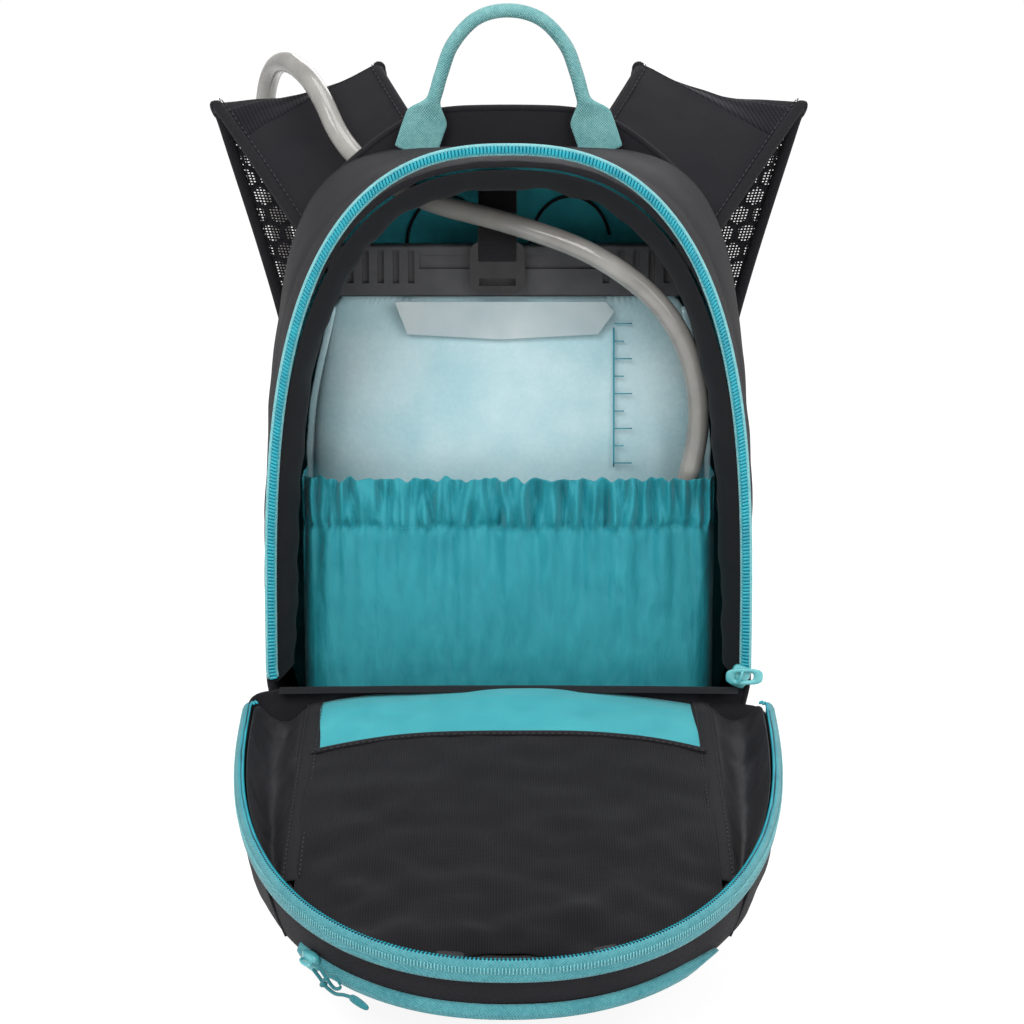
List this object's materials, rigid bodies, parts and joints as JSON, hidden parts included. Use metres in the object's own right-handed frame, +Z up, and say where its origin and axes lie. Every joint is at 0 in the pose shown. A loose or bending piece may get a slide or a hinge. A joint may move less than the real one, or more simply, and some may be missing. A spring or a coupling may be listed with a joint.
{
  "type": "hydration pack",
  "caption": "Small hydration backpack standing open: front flap folded down, drink reservoir in a sleeve, tube over one strap, carry loop on top.",
  "frame": {"origin": "middle of the flat base under the body", "axes": "+Z up, -Y towards the front opening, +X to the right-hand side of a person wearing it"},
  "size_m": [0.31, 0.4735, 0.4252],
  "materials": {
    "shell_fabric": "woven nylon, matt",
    "mesh": "open hex mesh",
    "foam": "air mesh over foam",
    "stretch": "ribbed stretch knit",
    "teal_lining": "satin polyester",
    "zip_teal": "nylon coil",
    "zip_tape": "woven tape",
    "slider": "enamel",
    "webbing": "woven polyester webbing",
    "black_web": "woven nylon webbing",
    "hard_plastic": "moulded acetal",
    "grey_plastic": "moulded polypropylene",
    "bag_film": "frosted film",
    "clear_film": "clear moulded sheet",
    "tube": "translucent tube",
    "bite": "soft silicone",
    "sheet": "foam-backed sheet"
  },
  "bodies": {
    "pack": {"side_gusset": "shell_fabric", "back_sheet": "sheet", "back_pads": "foam", "lower_front_panel": "shell_fabric", "hinge_piping": "shell_fabric", "main_zip_tape": "zip_tape", "main_zip_coil": "zip_teal", "reservoir_sleeve": "teal_lining", "sleeve_elastic": "teal_lining", "reservoir_bag": "bag_film", "reservoir_closure": "grey_plastic", "reservoir_lip": "clear_film", "reservoir_port": "grey_plastic", "hang_strap": "black_web", "tube_grommet": "sheet", "drink_tube": "tube", "tube_clip": "black_web", "bite_valve_body": "hard_plastic", "yoke_panel": "shell_fabric", "shoulder_strap_left": "mesh", "adjuster_web_left": "black_web", "corner_tab_left": "shell_fabric", "shoulder_strap_right": "mesh", "adjuster_web_right": "black_web", "corner_tab_right": "shell_fabric"},
    "flap": {"flap_shell": "shell_fabric", "flap_pocket": "shell_fabric", "flap_band": "teal_lining", "flap_stretch_pocket": "stretch", "flap_zip_tape": "zip_tape", "flap_zip_coil": "zip_teal", "pocket_zip": "zip_tape", "pocket_zip_slider": "slider"},
    "pocket_pull": {"pocket_zip_pull": "zip_teal"},
    "zip_slider": {"main_zip_slider": "slider"},
    "zip_pull": {"main_zip_pull": "slider"},
    "port_button": {"release_button": "bite"},
    "hang_hook": {"hang_buckle": "hard_plastic"},
    "carry_loop": {"grab_loop": "webbing"},
    "valve_tip": {"bite_valve_tip": "bite"},
    "chest_strap": {"sternum_web_right": "black_web", "sternum_clip_left": "hard_plastic", "sternum_clip_right": "hard_plastic", "sternum_buckle_socket": "hard_plastic"},
    "chest_plug": {"sternum_buckle_plug": "hard_plastic", "sternum_web_left": "black_web"},
    "lock_left": {"adjuster_lock_left": "hard_plastic"},
    "lock_right": {"adjuster_lock_right": "hard_plastic"}
  },
  "joints": [
    {"name": "flap_fold", "type": "hinge", "parent": "pack", "child": "flap", "pos_m": [0, -0.0465, 0.1], "axis": [-1, 0, 0], "range_deg": [0, 102]},
    {"name": "zip_slide", "type": "slide", "parent": "pack", "child": "zip_slider", "axis": [0, 0, 1], "range_m": [0, 0.06]},
    {"name": "zip_pull_turn", "type": "hinge", "parent": "zip_slider", "child": "zip_pull", "pos_m": [0.1042, -0.0498, 0.106], "axis": [0, 0, -1], "range_deg": [0, 110]},
    {"name": "pocket_pull_turn", "type": "hinge", "parent": "flap", "child": "pocket_pull", "pos_m": [-0.07811, -0.24908, 0.03138], "axis": [0, 0.2079, -0.9781], "range_deg": [0, 14]},
    {"name": "port_button_press", "type": "slide", "parent": "pack", "child": "port_button", "axis": [0, 1, 0], "range_m": [0, 0.0015], "stiffness_N_per_m": 400},
    {"name": "hang_hook_swing", "type": "hinge", "parent": "pack", "child": "hang_hook", "pos_m": [-0.0055, 0.0132, 0.3085], "axis": [-1, 0, 0], "range_deg": [0, 35]},
    {"name": "carry_loop_fold", "type": "hinge", "parent": "pack", "child": "carry_loop", "pos_m": [0, 0.0485, 0.3532], "axis": [1, 0, 0], "range_deg": [0, 75]},
    {"name": "bite_valve_twist", "type": "hinge", "parent": "pack", "child": "valve_tip", "pos_m": [-0.097, 0.128, 0.143], "axis": [0.0995, -0.0249, -0.9947], "range_deg": [0, 90]},
    {"name": "chest_strap_slide", "type": "slide", "parent": "pack", "child": "chest_strap", "axis": [0, 0, 1], "range_m": [-0.015, 0.003]},
    {"name": "chest_buckle_release", "type": "slide", "parent": "chest_strap", "child": "chest_plug", "axis": [-1, 0, 0], "range_m": [0, 0.014]},
    {"name": "lock_tilt_left", "type": "hinge", "parent": "pack", "child": "lock_left", "pos_m": [-0.08, 0.1125, 0.1395], "axis": [1, 0, 0], "range_deg": [0, 14]},
    {"name": "lock_tilt_right", "type": "hinge", "parent": "pack", "child": "lock_right", "pos_m": [0.08, 0.1125, 0.1395], "axis": [1, 0, 0], "range_deg": [0, 14]}
  ]
}
